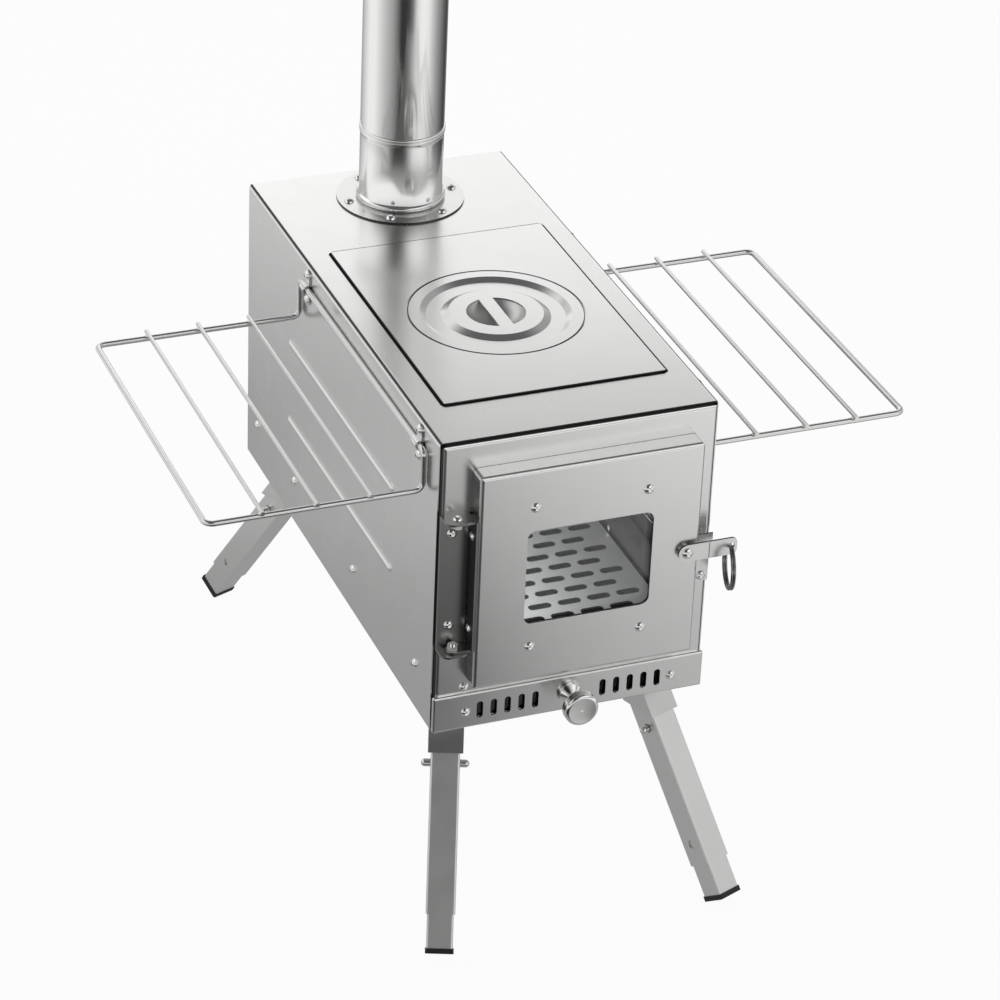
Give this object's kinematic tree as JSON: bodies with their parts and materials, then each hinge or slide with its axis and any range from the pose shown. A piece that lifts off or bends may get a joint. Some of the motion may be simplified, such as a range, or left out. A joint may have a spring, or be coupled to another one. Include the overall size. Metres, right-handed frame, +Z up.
{
  "type": "tent wood stove",
  "caption": "Folding steel wood stove with a hinged glass door, air damper, hob lid, flue, folding side racks and splayed telescopic legs.",
  "frame": {"origin": "on the ground under the middle of the firebox", "axes": "+Z up, -Y out of the door, +X to the latch side"},
  "size_m": [0.4996, 0.518, 0.732],
  "materials": {
    "brushed_sheet": "brushed stainless sheet",
    "plain_sheet": "plain mill stainless sheet",
    "polished_steel": "polished stainless tube",
    "tube_steel": "bright square stainless tube",
    "wire_steel": "polished stainless wire",
    "screw_steel": "stainless button head screws, bolts and rivets",
    "spring_steel": "spring steel",
    "stove_glass": "clear heat-resistant glass before a dark firebox",
    "seal": "flat woven glass-fibre tape",
    "foot_plastic": "black moulded foot caps"
  },
  "bodies": {
    "firebox": {"top_front": "brushed_sheet", "top_rear": "brushed_sheet", "top_left": "brushed_sheet", "top_right": "brushed_sheet", "top_corners": "brushed_sheet", "side_wall_l": "brushed_sheet", "side_wall_r": "brushed_sheet", "front_frame": "brushed_sheet", "rear_panel": "brushed_sheet", "bottom_pan": "brushed_sheet", "vent_panel": "brushed_sheet", "body_screws": "screw_steel", "front_screws": "screw_steel", "hatch_seat": "brushed_sheet", "flue_flange": "brushed_sheet", "flue_collar": "polished_steel", "flange_screws": "screw_steel", "hinge_bracket": "brushed_sheet", "hinge_pins": "screw_steel", "latch_keeper": "brushed_sheet", "rack_clips": "brushed_sheet", "rack_screws": "screw_steel", "leg_bracket_fl": "brushed_sheet", "leg_bracket_fr": "brushed_sheet", "leg_bracket_bl": "brushed_sheet", "leg_bracket_br": "brushed_sheet", "leg_pins": "screw_steel", "leg_rivets": "screw_steel"},
    "door": {"door_panel": "brushed_sheet", "hinge_leaf": "brushed_sheet", "leaf_rivets": "screw_steel", "window_glass": "stove_glass", "window_gasket": "seal", "glass_frame": "brushed_sheet", "window_screws": "screw_steel", "latch_screw": "screw_steel"},
    "latch": {"latch_bar": "brushed_sheet"},
    "ring": {"latch_ring": "wire_steel"},
    "damper": {"damper_plate": "plain_sheet", "damper_knob": "polished_steel"},
    "hatch": {"hatch_plate": "brushed_sheet"},
    "lid": {"hob_lid": "brushed_sheet", "lid_cup": "plain_sheet"},
    "pipe": {"flue_pipe": "polished_steel"},
    "grate": {"fire_grate": "plain_sheet"},
    "rack_left": {"rack_frame_l": "wire_steel", "rack_bars_l": "wire_steel"},
    "rack_right": {"rack_frame_r": "wire_steel", "rack_bars_r": "wire_steel"},
    "leg_fl": {"leg_tube_fl": "tube_steel"},
    "leg_inner_fl": {"leg_inner_fl": "tube_steel", "foot_cap_fl": "foot_plastic", "snap_spring_fl": "spring_steel"},
    "leg_fr": {"leg_tube_fr": "tube_steel"},
    "leg_inner_fr": {"leg_inner_fr": "tube_steel", "foot_cap_fr": "foot_plastic", "snap_spring_fr": "spring_steel"},
    "leg_bl": {"leg_tube_bl": "tube_steel"},
    "leg_inner_bl": {"leg_inner_bl": "tube_steel", "foot_cap_bl": "foot_plastic", "snap_spring_bl": "spring_steel"},
    "leg_br": {"leg_tube_br": "tube_steel"},
    "leg_inner_br": {"leg_inner_br": "tube_steel", "foot_cap_br": "foot_plastic", "snap_spring_br": "spring_steel"}
  },
  "joints": [
    {"name": "door_hinge", "type": "hinge", "parent": "firebox", "child": "door", "pos_m": [-0.0875, -0.207, 0.27041], "axis": [0, 0, -1], "range_deg": [0, 120]},
    {"name": "latch_turn", "type": "hinge", "parent": "door", "child": "latch", "pos_m": [0.0735, -0.21705, 0.27221], "axis": [0, -1, 0], "range_deg": [0, 65]},
    {"name": "ring_swing", "type": "hinge", "parent": "latch", "child": "ring", "pos_m": [0.1051, -0.21705, 0.27251], "axis": [0, -1, 0], "range_deg": [-24, 75]},
    {"name": "damper_slide", "type": "slide", "parent": "firebox", "child": "damper", "axis": [1, 0, 0], "range_m": [0, 0.005]},
    {"name": "hatch_lift", "type": "slide", "parent": "firebox", "child": "hatch", "axis": [0, 0, 1], "range_m": [0, 0.06]},
    {"name": "lid_lift", "type": "slide", "parent": "hatch", "child": "lid", "axis": [0, 0, 1], "range_m": [0, 0.04]},
    {"name": "pipe_lift", "type": "slide", "parent": "firebox", "child": "pipe", "axis": [0, 0, 1], "range_m": [0, 0.042]},
    {"name": "grate_lift", "type": "slide", "parent": "firebox", "child": "grate", "axis": [0, 0, 1], "range_m": [0, 0.02]},
    {"name": "rack_fold_right", "type": "hinge", "parent": "firebox", "child": "rack_right", "pos_m": [0.1003, -0.0504, 0.35731], "axis": [0, 1, 0], "range_deg": [-168, 0]},
    {"name": "rack_fold_left", "type": "hinge", "parent": "firebox", "child": "rack_left", "pos_m": [-0.1003, -0.0504, 0.35731], "axis": [0, -1, 0], "range_deg": [-180, 0]},
    {"name": "leg_fold_fl", "type": "hinge", "parent": "firebox", "child": "leg_fl", "pos_m": [-0.0717, -0.16114, 0.13917], "axis": [-0.9336, 0.3584, 0], "range_deg": [-125, 0]},
    {"name": "leg_slide_fl", "type": "slide", "parent": "leg_fl", "child": "leg_inner_fl", "axis": [-0.2056, -0.5355, -0.8192], "range_m": [0, 0.0867], "deforming": ["snap_spring_fl"]},
    {"name": "leg_fold_fr", "type": "hinge", "parent": "firebox", "child": "leg_fr", "pos_m": [0.0717, -0.16114, 0.13917], "axis": [-0.9336, -0.3584, 0], "range_deg": [-125, 0]},
    {"name": "leg_slide_fr", "type": "slide", "parent": "leg_fr", "child": "leg_inner_fr", "axis": [0.2056, -0.5355, -0.8192], "range_m": [0, 0.0867], "deforming": ["snap_spring_fr"]},
    {"name": "leg_fold_bl", "type": "hinge", "parent": "firebox", "child": "leg_bl", "pos_m": [-0.0717, 0.16114, 0.13917], "axis": [0.9336, 0.3584, 0], "range_deg": [-125, 0]},
    {"name": "leg_slide_bl", "type": "slide", "parent": "leg_bl", "child": "leg_inner_bl", "axis": [-0.2056, 0.5355, -0.8192], "range_m": [0, 0.0867], "deforming": ["snap_spring_bl"]},
    {"name": "leg_fold_br", "type": "hinge", "parent": "firebox", "child": "leg_br", "pos_m": [0.0717, 0.16114, 0.13917], "axis": [0.9336, -0.3584, 0], "range_deg": [-125, 0]},
    {"name": "leg_slide_br", "type": "slide", "parent": "leg_br", "child": "leg_inner_br", "axis": [0.2056, 0.5355, -0.8192], "range_m": [0, 0.0867], "deforming": ["snap_spring_br"]}
  ]
}
